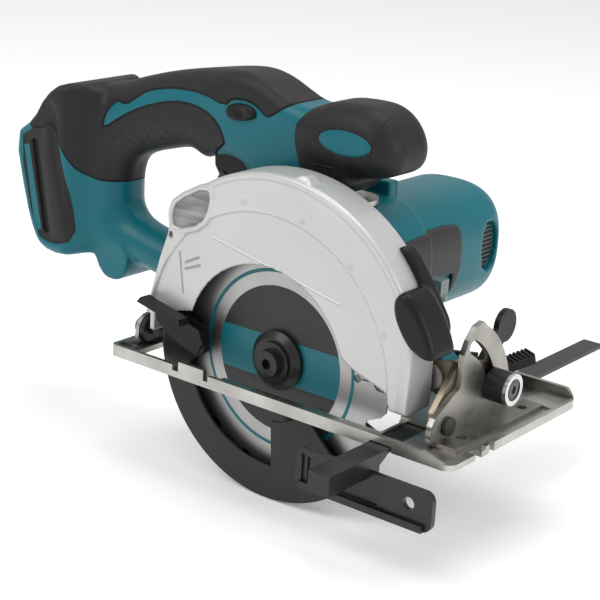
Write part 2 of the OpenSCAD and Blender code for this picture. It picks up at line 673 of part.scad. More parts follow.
// grey side panel with a recess that holds the lamp
module side_panel() color([0.18, 0.18, 0.19]) difference() {
  along_y(-4.5, 45.6) polygon([[motor[0] + 26.1, 86], [motor[0] + 30, 86], [66, 82], [69, 70],
    [69, 64], [66, 50],
    [60, 42], [motor[0] + 26.1, 42]]);
  bar_y(motor, motor_r + 0.05, -10, 16.2);
  along_y(-10, 46) polygon([[20, 84.5], [56.4, 62.4], [70, 50], [70, 30], [20, 30]]);
  // recess, open to the front and below
  block(56, 80, 3, 16, 30, 65);
}
module lamp_lens() color([0.75, 0.9, 0.85]) {
  translate([63, 9.5, 56]) scale([1, 1, 0.8]) sphere(4);
  block(57, 66, 6, 13, 57.5, 64.9);
}
module stator_can() color([0.55, 0.55, 0.56]) difference() {
  bar_y(motor, 25.5, 30, 66);
  bar_y(motor, 22.5, 29, 67);
}
module magnets() color([0.3, 0.3, 0.3]) along_y(31, 65) for (a = [30, 210])
  arc_band(motor, 18.6, 22.48, a, a + 120);
module brush_holders() color([0.6, 0.45, 0.2]) for (s = [-1, 1]) difference() {
  translate([motor[0] - 4.5, 71, s > 0 ? motor[1] + 10.5 : motor[1] - 26.5]) cube([9, 8, 16]);
  translate([motor[0] - 3, 72.2, motor[1] - 30]) cube([6, 5.6, 60]);
}
module brushes() color([0.15, 0.15, 0.15]) for (s = [-1, 1])
  translate([motor[0] - 2.98, 72.22, s > 0 ? motor[1] + 8.3 : motor[1] - 20.3]) cube([5.96, 5.56, 12]);
// ring about an axis along Y
module ring_y(p, ro, ri, y0, y1) difference() { bar_y(p, ro, y0, y1); bar_y(p, ri, y0 - 1, y1 + 1); }
// all ball bearings, each drawn as one ring that sits in its housing
module bearings() color([0.7, 0.7, 0.72]) {
  ring_y(ax, 10.99, 5.04, -24.4, -17.9);
  ring_y(ax, 9.49, 4.04, -6.9, -1.1);
  ring_y(idler, 7.99, 3.04, -23.9, -18.1);
  ring_y(idler, 7.99, 3.04, 9.1, 13.9);
  ring_y(motor, 9.49, 3.54, 9.2, 15.8);
  ring_y(motor, 9.49, 3.54, 92.5, 98.5);
}
// bolt through the beam that the depth lever tightens against the guide
module depth_bolt() color([0.6, 0.6, 0.6]) {
  bar_y(clamp_p, 2.9, -21.5, 30);
  bar_y(clamp_p, 5.4, -23.6, -21.45);
  // spacer between the guide and the handle's beam
  bar_y(clamp_p, 7.3, -18.8, -15.75);
}
module depth_lever() color([0.1, 0.1, 0.11]) difference() {
  union() {
    bar_y(clamp_p, 7, 16.5, 24);
    along_y(19, 24) {
      polygon([clamp_p + [-4, -4.5], clamp_p + [4, 4.5], clamp_p + [-26, 25], clamp_p + [-33, 19]]);
      spot(clamp_p + [-29.5, 22], 6);
    }
  }
  bar_y(clamp_p, 2.94, 10, 30);
}
module guard_stop() color([0.06, 0.06, 0.06]) bar_y(stop_p, 2.98, -30.6, -25.1);

// ---------- motor and gears ----------
module armature_shaft() color([0.7, 0.7, 0.72]) {
  bar_y(motor, 3, 0.4, 9);
  bar_y(motor, 3.5, 8.5, 100);
  along_y(0.5, 8) gear(pinion_n, gear_m1, motor, a1 + 180 + 180 / pinion_n);
}
module rotor_core() color([0.4, 0.4, 0.42]) along_y(31, 65) difference() {
  spot(motor, 17.6);
  spot(motor, 3.52);
  for (a = [0:30:330]) translate(motor) rotate(a) translate([11, -0.9]) square([8, 1.8]);
}
module commutator() color([0.75, 0.45, 0.2]) ring_y(motor, 8, 3.52, 70, 80);
module fan() color([0.85, 0.85, 0.82]) difference() {
  union() {
    ring_y(motor, 28, 3.52, 19, 20.6);
    ring_y(motor, 8, 3.52, 19, 28);
    along_y(20.5, 27) for (a = [0:30:330]) translate(motor) rotate(a) translate([7, -0.7]) square([20, 1.4]);
  }
}
module idler_shaft() color([0.68, 0.68, 0.7]) {
  bar_y(idler, 3, -23.5, 13.5);
  bar_y(idler, 4.4, -7.4, 8);
  along_y(-15.5, -7.5) gear(small_n, gear_m2, idler, a2 + 180 + 180 / small_n);
}
module idler_wheel() color([0.6, 0.6, 0.62]) along_y(1, 7) difference() {
  gear(wheel_n, gear_m1, idler, a1);
  spot(idler, 4.42);
}
module spindle() color([0.66, 0.66, 0.68]) difference() {
  union() {
    bar_y(ax, 6, -35.4, -24.45);
    bar_y(ax, 5, -24.5, -7);
    bar_y(ax, 4, -7.05, -0.6);
  }
  bar_y(ax, 3.02, -36, -20);
}
module spindle_gear() color([0.6, 0.6, 0.62]) along_y(-14.6, -8) difference() {
  gear(spindle_n, gear_m2, ax, a2);
  spot(ax, 5.02);
}
module inner_flange() color([0.3, 0.3, 0.31]) difference() {
  union() {
    bar_y(ax, 16, -34.4, -30.7);
    bar_y(ax, blade_bore / 2 - 0.03, -35.5, -34.3);
  }
  bar_y(ax, 6.02, -37, -30);
}
tip_r = blade_d / 2;
module tooth_gap(a) rotate(a) polygon([[tip_r - 1.4, 0], [tip_r + 3, -1.2], [tip_r + 3, 20],
  [tip_r * cos(15), tip_r * sin(15) - 1.0], [tip_r * cos(9) - 3.2, tip_r * sin(9) + 1.5],
  [tip_r - 9.5, 6.6], [tip_r - 10, 3.2], [tip_r - 7.6, 0.4]]);
module blade() color([0.7, 0.7, 0.72]) translate([0, 0, arbor_z]) difference() {
  along_y(blade_y - blade_t / 2, blade_y + blade_t / 2) difference() {
    circle(tip_r - 0.5);
    circle(blade_bore / 2);
    for (k = [0:teeth - 1]) tooth_gap(k * 360 / teeth);
    // expansion slots, each with a round end
    for (k = [0:3]) rotate(k * 90 + 4) {
      translate([50, -0.4]) square([12, 0.8]);
      translate([49, 0]) circle(2.1);
    }
  }
}
module blade_tips() color([0.5, 0.5, 0.5]) translate([0, 0, arbor_z])
  along_y(blade_y - kerf / 2, blade_y + kerf / 2) for (k = [0:teeth - 1]) rotate(k * 360 / teeth)
    polygon([[tip_r - 7.4, 0.42], [tip_r, 0], [tip_r - 0.4, 2], [tip_r - 7.2, 2.05]]);
module outer_flange() color([0.1, 0.1, 0.1]) difference() {
  union() {
    bar_y(ax, 15.5, -38, -35.62);
    cone_y(ax, 12.4, 15.5, -40.6, -38);
  }
  bar_y(ax, 3.05, -42, -35);
}
module blade_bolt() color([0.12, 0.12, 0.12]) difference() {
  union() {
    bar_y(ax, 3, -42, -22);
    bar_y(ax, 10.6, -42.2, -40.62);
    cone_y(ax, 6.8, 7.4, -46, -42.1);
  }
  along_y(-47, -42.8) translate(ax) circle(3, $fn = 6);
}

// ---------- lower guard ----------
module lower_guard() color([0.22, 0.22, 0.23]) difference() {
  union() {
    // near wall: a band at the rear, a full sector in front
    along_y(-42.6, -41.12) {
      arc_band(ax, 56, guard_r, 168, 275);
      arc_band(ax, 31, guard_r, 274, 317);
    }
    // rim, a hair clear of both walls, so that each is a solid of its own
    along_y(-41.1, -30.12) arc_band(ax, guard_r - 1.8, guard_r, 168, 338);
    // far wall and hub
    along_y(-30.1, -28.6) {
      arc_band(ax, 20.3, guard_r, 178, 338);
      difference() { spot(ax, 20.6); spot(ax, 15.55); }
      // lug that meets the rubber stop
      arc_band(ax, 20, 27, 20, 40);
    }
    ring_y(ax, 18.6, 15.55, -30.1, -27.8);
  }
  bar_y(ax, 15.55, -50, -20);
}
// finger lever, in front of the case, joined to the guard through the case's window
module guard_lever() color([0.12, 0.12, 0.12]) {
  translate([0, 0, arbor_z]) {
    along_y(-55.5, -48.6) polygon([[-50, 9.3], [-51, 12.6], [-78, 18.5], [-80.5, 15.5]]);
    along_y(-50.4, -48.6) polygon([[-43, -6], [-39, 2], [-41.5, 8], [-60, 13],
      [-72, 14.2], [-70, 6], [-56, -2]]);
    along_y(-49, -42.62) polygon([[-43, -6], [-40, -1], [-41, 7], [-46, 6], [-47, -4]]);
    along_y(-44.1, -42.62) polygon([[-41, 7], [-40, -4], [-60, -18], [-70, -14], [-70, 13], [-55, 12]]);
  }
}
// space of the flat coil return spring round the hub
module guard_spring() color([0.6, 0.6, 0.6]) ring_y(ax, 20.4, 19, -28.4, -27.7);

// ---------- controls ----------
trigger_p = [-52, 112];
module trigger() color([0.14, 0.14, 0.15]) difference() {
  union() {
    along_y(-6.8, 6.8) polygon([[-54, 109.6], [-46.6, 105], [-45.5, 101.4], [-60, 96],
      [-68, 93.9], [-72, 99.6], [-73, 111], [-70, 111.6]]);
    bar_y(trigger_p, 3, -6.8, 6.8);
  }
  bar_y(trigger_p, 1.55, -10, 10);
}
module lock_off() color([0.08, 0.08, 0.09]) {
  bar_y([-49, 131], 6, -19, 19);
}
module shaft_lock() color([0.1, 0.1, 0.1]) {
  bar_x([-16.3, arbor_z], 1.15, 7.6, 24);
  bar_x([-16.3, arbor_z], 3.6, 23.6, 27);
}
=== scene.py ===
"""Looks of the circular saw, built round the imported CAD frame. Lengths in the shapes are millimetres."""
import math

import bpy
import numpy as np
from mathutils import Matrix, Vector


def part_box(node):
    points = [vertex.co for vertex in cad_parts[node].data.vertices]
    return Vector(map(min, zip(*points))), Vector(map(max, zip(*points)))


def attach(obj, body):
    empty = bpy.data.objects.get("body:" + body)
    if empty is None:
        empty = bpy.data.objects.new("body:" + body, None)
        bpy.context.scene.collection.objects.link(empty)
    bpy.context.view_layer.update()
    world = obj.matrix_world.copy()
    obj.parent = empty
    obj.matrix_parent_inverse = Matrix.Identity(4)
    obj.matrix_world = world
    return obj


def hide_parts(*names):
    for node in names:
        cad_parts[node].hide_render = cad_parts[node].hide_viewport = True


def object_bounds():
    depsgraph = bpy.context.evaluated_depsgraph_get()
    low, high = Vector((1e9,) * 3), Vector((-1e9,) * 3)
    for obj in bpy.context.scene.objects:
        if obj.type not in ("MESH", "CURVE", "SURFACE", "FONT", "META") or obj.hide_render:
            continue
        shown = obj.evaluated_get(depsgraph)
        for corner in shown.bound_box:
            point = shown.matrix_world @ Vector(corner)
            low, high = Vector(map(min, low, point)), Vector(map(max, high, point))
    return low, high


MM = 0.001
FINE = 1.0          # grid step of the large sculpted shells
DETAIL = 0.8        # grid step of the shells with smaller features

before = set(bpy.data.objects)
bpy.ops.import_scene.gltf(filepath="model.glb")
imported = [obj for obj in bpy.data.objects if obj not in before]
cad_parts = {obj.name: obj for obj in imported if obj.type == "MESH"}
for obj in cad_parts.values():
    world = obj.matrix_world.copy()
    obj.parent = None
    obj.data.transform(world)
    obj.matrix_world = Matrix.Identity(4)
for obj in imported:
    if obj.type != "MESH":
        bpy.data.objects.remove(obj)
cad_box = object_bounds()

# ---------------------------------------------------------------- places from the frame


def box_mm(node):
    low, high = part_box(node)
    return np.array(low) / MM, np.array(high) / MM


def middle(node):
    low, high = box_mm(node)
    return (low + high) / 2


CAP_LOW, CAP_HIGH = box_mm("motor_cap")
ARBOR = middle("blade_tips")
MOTOR = middle("stator_can")
MOTOR_R = (CAP_HIGH - CAP_LOW)[2] / 2 + 1
MOTOR_END = CAP_HIGH[1]
DEPTH_PIN = middle("depth_pin")

# ---------------------------------------------------------------- camera, light and floor
CAMERA_AT = Vector((0.46833, -0.63866, 0.29789))
CAMERA_AZIMUTH = math.radians(37.173)
CAMERA_ELEVATION = math.radians(18.046)
CAMERA_ROLL = math.radians(3.322)
CAMERA_LENS = 96.7

WORLD_STRENGTH = 0.62
FLOOR_SIZE = 8
FLOOR_GAP = 0.0005
FLOOR_TONE = 0.97
FLOOR_GLOW = 0.16


def make_camera():
    az, el, roll = CAMERA_AZIMUTH, CAMERA_ELEVATION, CAMERA_ROLL
    back = Vector((math.sin(az) * math.cos(el), -math.cos(az) * math.cos(el), math.sin(el)))
    right = Vector((math.cos(az), math.sin(az), 0))
    up = back.cross(right)
    right_rolled = math.cos(roll) * right + math.sin(roll) * up
    up_rolled = -math.sin(roll) * right + math.cos(roll) * up
    turn = Matrix((right_rolled, up_rolled, back)).transposed().to_4x4()
    data = bpy.data.cameras.new("camera")
    data.lens = CAMERA_LENS
    data.clip_start = 0.01
    camera = bpy.data.objects.new("camera", data)
    camera.matrix_world = Matrix.Translation(CAMERA_AT) @ turn
    bpy.context.scene.collection.objects.link(camera)
    bpy.context.scene.camera = camera


def area_light(name, at, target, size, power):
    data = bpy.data.lights.new(name, "AREA")
    data.size = size
    data.energy = power
    lamp = bpy.data.objects.new(name, data)
    lamp.location = at
    lamp.rotation_euler = (Vector(target) - Vector(at)).to_track_quat("-Z", "Y").to_euler()
    bpy.context.scene.collection.objects.link(lamp)


def make_studio():
    world = bpy.data.worlds.new("studio")
    world.use_nodes = True
    world.node_tree.nodes["Background"].inputs["Color"].default_value = (1, 1, 1, 1)
    world.node_tree.nodes["Background"].inputs["Strength"].default_value = WORLD_STRENGTH
    bpy.context.scene.world = world
    bpy.context.scene.view_settings.view_transform = "Standard"
    area_light("key", (-0.5, -1.1, 1.3), (-0.05, 0, 0.04), 0.9, 9.5)
    area_light("side", (1.3, 0.1, 0.55), (0, 0.05, 0.05), 0.8, 5)
    area_light("top", (0.1, 0.3, 1.5), (0, 0, 0.05), 1.0, 8)
    bpy.ops.mesh.primitive_plane_add(size=FLOOR_SIZE, location=(0, 0, cad_box[0][2] - FLOOR_GAP))
    floor = bpy.context.object
    floor.name = "floor"
    mat = bpy.data.materials.new("floor")
    mat.use_nodes = True
    shader = mat.node_tree.nodes["Principled BSDF"]
    shader.inputs["Base Color"].default_value = (FLOOR_TONE, FLOOR_TONE, FLOOR_TONE, 1)
    shader.inputs["Roughness"].default_value = 0.9
    shader.inputs["Emission Color"].default_value = (1, 1, 1, 1)
    shader.inputs["Emission Strength"].default_value = FLOOR_GLOW
    floor.data.materials.append(mat)


# ---------------------------------------------------------------- materials


class Look:
    """A procedural material: the Principled shader with helpers for masks, noise and bump."""

    def __init__(self, name, color, rough, metal=0.0, coat=0.0, specular=0.5):
        self.mat = bpy.data.materials.new(name)
        self.mat.use_nodes = True
        self.tree = self.mat.node_tree
        self.shader = self.tree.nodes["Principled BSDF"]
        self.shader.inputs["Metallic"].default_value = metal
        self.shader.inputs["Coat Weight"].default_value = coat
        self.shader.inputs["Specular IOR Level"].default_value = specular
        self.coords = self.tree.nodes.new("ShaderNodeTexCoord").outputs["Object"]
        self.color = self.rgb(color)
        self.rough = self.value(rough)
        self.height = None

    def rgb(self, color):
        node = self.tree.nodes.new("ShaderNodeRGB")
        node.outputs[0].default_value = (*color, 1)
        return node.outputs[0]

    def value(self, number):
        node = self.tree.nodes.new("ShaderNodeValue")
        node.outputs[0].default_value = number
        return node.outputs[0]

    def math(self, kind, a, b=None):
        node = self.tree.nodes.new("ShaderNodeMath")
        node.operation = kind
        for socket, item in zip(node.inputs, (a, b)):
            if item is None:
                continue
            if isinstance(item, (int, float)):
                socket.default_value = item
            else:
                self.tree.links.new(item, socket)
        return node.outputs[0]

    def mix(self, mask, low, high):
        node = self.tree.nodes.new("ShaderNodeMix")
        node.data_type = "RGBA"
        self.tree.links.new(mask, node.inputs["Factor"])
        for name, item in (("A", low), ("B", high)):
            socket = [s for s in node.inputs if s.name == name and s.type == "RGBA"][0]
            self.tree.links.new(self.rgb(item) if isinstance(item, tuple) else item, socket)
        return [s for s in node.outputs if s.type == "RGBA"][0]

    def step(self, source, low, high):
        """0 below low, 1 above high, smooth between."""
        node = self.tree.nodes.new("ShaderNodeMapRange")
        node.interpolation_type = "SMOOTHSTEP"
        self.tree.links.new(source, node.inputs["Value"])
        node.inputs["From Min"].default_value = low
        node.inputs["From Max"].default_value = high
        return node.outputs[0]

    def near_zero(self, source, full, gone):
        """1 where source is within full of zero, 0 beyond gone."""
        return self.math("SUBTRACT", 1.0, self.step(self.math("ABSOLUTE", source), full, gone))

    def attribute(self, name):
        node = self.tree.nodes.new("ShaderNodeAttribute")
        node.attribute_name = name
        return node.outputs["Fac"]

    def noise(self, scale, detail=3.0, stretch=(1, 1, 1)):
        mapping = self.tree.nodes.new("ShaderNodeMapping")
        mapping.inputs["Scale"].default_value = stretch
        self.tree.links.new(self.coords, mapping.inputs["Vector"])
        node = self.tree.nodes.new("ShaderNodeTexNoise")
        node.inputs["Scale"].default_value = scale
        node.inputs["Detail"].default_value = detail
        self.tree.links.new(mapping.outputs[0], node.inputs["Vector"])
        return node.outputs["Fac"]

    def axis(self, index):
        node = self.tree.nodes.new("ShaderNodeSeparateXYZ")
        self.tree.links.new(self.coords, node.inputs[0])
        return node.outputs[index]

    def radius(self, centre, axes=(0, 2)):
        """Distance in metres from centre, measured in two axes only."""
        squares = []
        for axis in axes:
            offset = self.math("SUBTRACT", self.axis(axis), centre[axis] * MM)
            squares.append(self.math("MULTIPLY", offset, offset))
        return self.math("SQRT", self.math("ADD", *squares))

    def dots(self, pitch, size):
        """Round dots on a square lattice turned by 45 degrees in the X-Z plane."""
        cells = []
        for sign in (1, -1):
            turned = self.math("ADD", self.axis(0), self.math("MULTIPLY", self.axis(2), sign))
            cell = self.math("FRACT", self.math("DIVIDE", turned, pitch * 1.4))
            cells.append(self.math("SUBTRACT", cell, 0.5))
        squared = [self.math("MULTIPLY", c, c) for c in cells]
        near = self.math("SQRT", self.math("ADD", *squared))
        return self.math("SUBTRACT", 1.0, self.step(near, 0.4 * size / pitch, 1.1 * size / pitch))

    def paint(self, mask, color=None, rough=None):
        if color is not None:
            self.color = self.mix(mask, self.color, color)
        if rough is not None:
            change = self.math("SUBTRACT", rough, self.rough)
            self.rough = self.math("ADD", self.rough, self.math("MULTIPLY", mask, change))

    def vary(self, amount, scale=14.0):
        """Slow change of tone, and a finer change of roughness."""
        slow = self.step(self.noise(scale), 0.3, 0.7)
        node = self.tree.nodes.new("ShaderNodeHueSaturation")
        tone = self.math("ADD", self.math("MULTIPLY", slow, amount), 1 - amount / 2)
        self.tree.links.new(tone, node.inputs["Value"])
        self.tree.links.new(self.color, node.inputs["Color"])
        self.color = node.outputs[0]
        fine = self.noise(scale * 9)
        change = self.math("MULTIPLY", self.math("SUBTRACT", fine, 0.5), amount)
        self.rough = self.math("ADD", self.rough, change)

    def raise_by(self, mask, amount):
        """Adds relief: amount millimetres where mask is 1."""
        part = self.math("MULTIPLY", mask, amount)
        self.height = part if self.height is None else self.math("ADD", self.height, part)

    def grain(self, scale, amount, stretch=(1, 1, 1)):
        self.raise_by(self.noise(scale, 2.0, stretch), amount)

    def done(self):
        self.tree.links.new(self.color, self.shader.inputs["Base Color"])
        self.tree.links.new(self.rough, self.shader.inputs["Roughness"])
        if self.height is not None:
            node = self.tree.nodes.new("ShaderNodeBump")
            node.inputs["Distance"].default_value = MM
            node.inputs["Strength"].default_value = 1.0
            self.tree.links.new(self.height, node.inputs["Height"])
            self.tree.links.new(node.outputs[0], self.shader.inputs["Normal"])
        return self.mat


TEAL = (0.0, 0.125, 0.158)
BLACK = (0.011, 0.011, 0.0112)


def teal_look(name):
    look = Look(name, TEAL, 0.36, specular=0.32)
    look.vary(0.08)
    look.grain(2600, 0.02)
    return look


# for each look: material, colour, roughness, shader settings, (change of tone, its scale), and the grains,
# each (scale, height in millimetres, stretch where it isn't even)
PLAIN_LOOKS = {
    "black": ("black_plastic", (0.008, 0.008, 0.0083), 0.36, {"specular": 0.22}, (0.12, 14.0),
              [(1500, 0.03)]),
    "grey": ("grey_plastic", (0.022, 0.021, 0.022), 0.42, {"specular": 0.4}, (0.12, 14.0), [(1500, 0.03)]),
    "steel": ("pressed_steel", (0.46, 0.45, 0.42), 0.36, {"metal": 1.0}, (0.3, 30),
              [(160, 0.02, (0.15, 1, 1)), (900, 0.008)]),
    "bracket": ("bracket_steel", (0.33, 0.32, 0.29), 0.36, {"metal": 1.0}, (0.35, 40), [(500, 0.012)]),
    "dark": ("dark_steel", (0.09, 0.09, 0.09), 0.4, {"metal": 1.0}, (0.2, 50), [(900, 0.01)]),
    "zinc": ("brown_zinc", (0.27, 0.225, 0.17), 0.38, {"metal": 1.0}, (0.35, 60), [(800, 0.01)]),
    "enamel": ("black_enamel", (0.012, 0.012, 0.0125), 0.33, {"specular": 0.4}, (0.15, 30), [(1300, 0.03)]),
    "guard": ("guard_enamel", (0.022, 0.022, 0.0225), 0.38, {"specular": 0.3}, (0.15, 30), [(1500, 0.04)]),
    "brass": ("brass", (0.75, 0.5, 0.2), 0.3, {"metal": 1.0}, (0.2, 60), []),
    "lens": ("lamp_lens", (0.12, 0.17, 0.165), 0.14, {"coat": 0.4}, (0.05, 60), [(700, 0.03)]),
}


def make_plain_looks():
    looks = {}
    for key, (name, color, rough, settings, tone, grains) in PLAIN_LOOKS.items():
        look = Look(name, color, rough, **settings)
        look.vary(*tone)
        for grain in grains:
            look.grain(*grain)
        looks[key] = look.done()
    return looks


# printed disc, the band across it and the ring round it
DISC_R = 38.4
BAND_HALF = 11.5
BAND_DROP = 0.5
RING_INNER = 45.3
RING_OUTER = 47.2


def blade_look():
    """Printed steel: dark disc with a teal band, a thin teal ring, and brushed steel outside."""
    look = Look("blade_print", (0.42, 0.42, 0.415), 0.4, metal=1.0)
    look.vary(0.12, 50)
    radius = look.radius(ARBOR)
    rings = look.math("SINE", look.math("MULTIPLY", radius, 9000.0))
    look.raise_by(rings, 0.004)
    disc = look.math("LESS_THAN", radius, DISC_R * MM)
    outside = look.math("GREATER_THAN", radius, RING_INNER * MM)
    ring = look.math("MULTIPLY", outside, look.math("LESS_THAN", radius, RING_OUTER * MM))
    printed = look.math("MAXIMUM", disc, ring)
    across = look.math("ABSOLUTE", look.math("SUBTRACT", look.axis(2), (ARBOR[2] - BAND_DROP) * MM))
    band = look.math("LESS_THAN", across, BAND_HALF * MM)
    look.paint(disc, BLACK)
    look.paint(look.math("MULTIPLY", disc, band), TEAL)
    look.paint(ring, TEAL)
    look.paint(printed, rough=0.42)
    metal = look.math("SUBTRACT", 1.0, printed)
    look.tree.links.new(metal, look.shader.inputs["Metallic"])
    return look.done()


# ---------------------------------------------------------------- sculpting with distance fields


def grid(low, high, step=FINE):
    """Coordinates of a box's grid points, as three arrays."""
    axes = [np.arange(low[i], high[i] + step, step, dtype=np.float32) for i in range(3)]
    return np.meshgrid(*axes, indexing="ij")


def outline_distance(u, v, points):
    """Signed distance to a closed outline in a plane, negative inside."""
    points = np.asarray(points, dtype=np.float32)
    best = np.full(u.shape, 1e9, dtype=np.float32)
    inside = np.zeros(u.shape, dtype=bool)
    for (ax, ay), (bx, by) in zip(points, np.roll(points, -1, axis=0)):
        ex, ey = bx - ax, by - ay
        t = np.clip(((u - ax) * ex + (v - ay) * ey) / (ex * ex + ey * ey), 0, 1)
        best = np.minimum(best, (u - ax - t * ex) ** 2 + (v - ay - t * ey) ** 2)
        crosses = (ay > v) != (by > v)
        with np.errstate(divide="ignore", invalid="ignore"):
            inside ^= crosses & (u < ax + (v - ay) * ex / (ey if ey else 1e-9))
    return np.where(inside, -1, 1) * np.sqrt(best)


def side_view(x, z):
    """One layer of the grid, for shapes that stay the same along Y."""
    return x[:, :1, :], z[:, :1, :]


def join(a, b, soft):
    """Both shapes together, with a fillet of about soft."""
    h = np.clip(0.5 + 0.5 * (b - a) / soft, 0, 1)
    return b * (1 - h) + a * h - soft * h * (1 - h)


def cut(a, b, soft):
    """Shape a without shape b, with the edge eased by soft."""
    return -join(-a, b, soft)


def rounded(flat, across, half, round_flat, round_across):
    """Solid of outline distance flat and half width half, with its edge rounded by two radii."""
    u = np.maximum(flat + round_flat, 0) / round_flat
    v = np.maximum(across - half + round_across, 0) / round_across
    corner = (np.sqrt(u * u + v * v) - 1) * np.minimum(round_flat, round_across)
    return np.where((u > 0) & (v > 0), corner, np.maximum(flat, across - half))


def tube(x, z, across, points, flatness):
    """Chain of round cones through points (x, z, radius); across is squeezed by flatness."""
    result = None
    y = across / flatness
    for (ax, az, ar), (bx, bz, br) in zip(points[:-1], points[1:]):
        ex, ez = bx - ax, bz - az
        t = np.clip(((x - ax) * ex + (z - az) * ez) / (ex * ex + ez * ez), 0, 1)
        distance = np.sqrt((x - ax - t * ex) ** 2 + (z - az - t * ez) ** 2 + y * y)
        cone = distance - (ar + t * (br - ar))
        result = cone if result is None else np.minimum(result, cone)
    return result


def skin(name, field, low, step=FINE):
    """Mesh of the field's zero surface, by surface nets."""
    nx, ny, nz = (n - 1 for n in field.shape)
    corner = {}
    for i, j, k in np.ndindex(2, 2, 2):
        corner[i, j, k] = field[i:i + nx, j:j + ny, k:k + nz]
    count = sum((c < 0).astype(np.int8) for c in corner.values())
    active = (count > 0) & (count < 8)
    number = np.full(active.shape, -1, dtype=np.int64)
    cells = np.argwhere(active)
    number[active] = np.arange(len(cells))
    total = np.zeros((len(cells), 3))
    hits = np.zeros(len(cells))
    for a in corner:
        for axis in range(3):
            if a[axis]:
                continue
            b = tuple(1 if i == axis else a[i] for i in range(3))
            fa, fb = corner[a][active], corner[b][active]
            crossing = (fa < 0) != (fb < 0)
            t = fa[crossing] / (fa[crossing] - fb[crossing])
            point = np.tile(np.array(a, dtype=float), (crossing.sum(), 1))
            point[:, axis] = t
            total[crossing] += point
            hits[crossing] += 1
    verts = (cells + total / hits[:, None]) * step + np.asarray(low, dtype=float)
    quads = []
    for axis in range(3):
        u, v = [i for i in range(3) if i != axis]
        inner = [slice(1, n) for n in (nx, ny, nz)]
        inner[axis] = slice(0, (nx, ny, nz)[axis])
        a = field[tuple(inner)]
        shifted = list(inner)
        shifted[axis] = slice(1, (nx, ny, nz)[axis] + 1)
        b = field[tuple(shifted)]
        flips = (a < 0) != (b < 0)
        at = np.argwhere(flips) + [0 if i == axis else 1 for i in range(3)]
        ring = []
        for du, dv in ((1, 1), (0, 1), (0, 0), (1, 0)):
            cell = at.copy()
            cell[:, u] -= du
            cell[:, v] -= dv
            ring.append(number[tuple(cell.T)])
        ring = np.stack(ring, axis=1)
        out = (a < 0)[flips]
        if axis == 1:
            out = ~out
        ring[~out] = ring[~out][:, ::-1]
        quads.append(ring)
    quads = np.concatenate(quads)
    mesh = bpy.data.meshes.new(name)
    mesh.from_pydata((verts * MM).tolist(), [], quads.tolist())
    mesh.shade_smooth()
    piece = bpy.data.objects.new(name, mesh)
    bpy.context.scene.collection.objects.link(piece)
    return piece, verts


def mark(piece, name, values):
    """Stores one number a vertex, for the material to read."""
    layer = piece.data.attributes.new(name, "FLOAT", "POINT")
    layer.data.foreach_set("value", np.asarray(values, dtype=np.float32))


def relax(piece, times):
    """Evens out the steps that the grid leaves."""
    modifier = piece.modifiers.new("even", "SMOOTH")
    modifier.factor = 0.5
    modifier.iterations = times


def place(piece, body, slot, mat, *nodes):
    """Gives the piece its material and body; nodes are the CAD nodes that it stands for."""
    piece.data.materials.clear()
    piece.data.materials.append(mat)
    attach(piece, body)
    if nodes:
        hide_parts(*nodes)


def smooth_outline(points, rounds=2):
    """Chaikin's corner cutting on a closed outline."""
    points = np.asarray(points, dtype=float)
    for _ in range(rounds):
        ahead = np.roll(points, -1, axis=0)
        points = np.stack([0.75 * points + 0.25 * ahead, 0.25 * points + 0.75 * ahead], axis=1).reshape(-1, 2)
    return points


def blend_to(x, start, end, a, b):
    """Goes smoothly from a at start to b at end."""
    t = np.clip((x - start) / (end - start), 0, 1)
    t = t * t * (3 - 2 * t)
    return a + (b - a) * t


# ---------------------------------------------------------------- handle
# outlines are (x, z) points seen from the blade's side, BEAM_PATH is (x, z, radius)
HOLDER = [(-204, 97), (-189, 107.5), (-180, 122), (-168, 130.5), (-152, 131), (-144, 118), (-143, 44),
          (-150, 36), (-167, 32), (-181, 33.5), (-188, 41), (-195, 59)]
GRIP_TOP = [(-150, 131), (-138, 134), (-127, 138), (-109, 143.5), (-91, 147.5), (-70, 151.5), (-57, 153),
            (-47, 153), (-36, 150.5), (-26, 146), (-15, 141.5), (-2, 141)]
GRIP_FRONT = [(-1, 120), (-4, 92), (-14, 74), (-28, 62), (-38, 66), (-43, 80), (-43.5, 94), (-45, 103),
              (-52, 107.5), (-63, 107), (-71, 104)]
GRIP_UNDER = [(-79, 101.5), (-85, 104.5), (-92, 105.5), (-108, 101), (-122, 96.5), (-131, 91), (-135, 82),
              (-135.5, 66)]
GRIP_REAR = [(-134, 52), (-140, 36), (-150, 36), (-168, 60), (-168, 120)]
BEAM_PATH = [(-150, 50, 14.5), (-125, 44, 12.5), (-97, 38.5, 12), (-60, 32, 12), (-32, 30, 13)]
HOLDER_HALF = 30.5
BEAM_FLATNESS = 1.15
BOSS_AT = (-139, 34)
BOSS_R = 12
BOSS_HALF = 15
SOCKET_FRONT = -178
SOCKET_Z = 75
SOCKET_HALF_Z = 27
SOCKET_HALF_Y = 24.5
TRIGGER_X = -61
TRIGGER_SLOT_HALF = 16
TRIGGER_SLOT_Y = 7.2
TRIGGER_SLOT_Z = (80, 114)

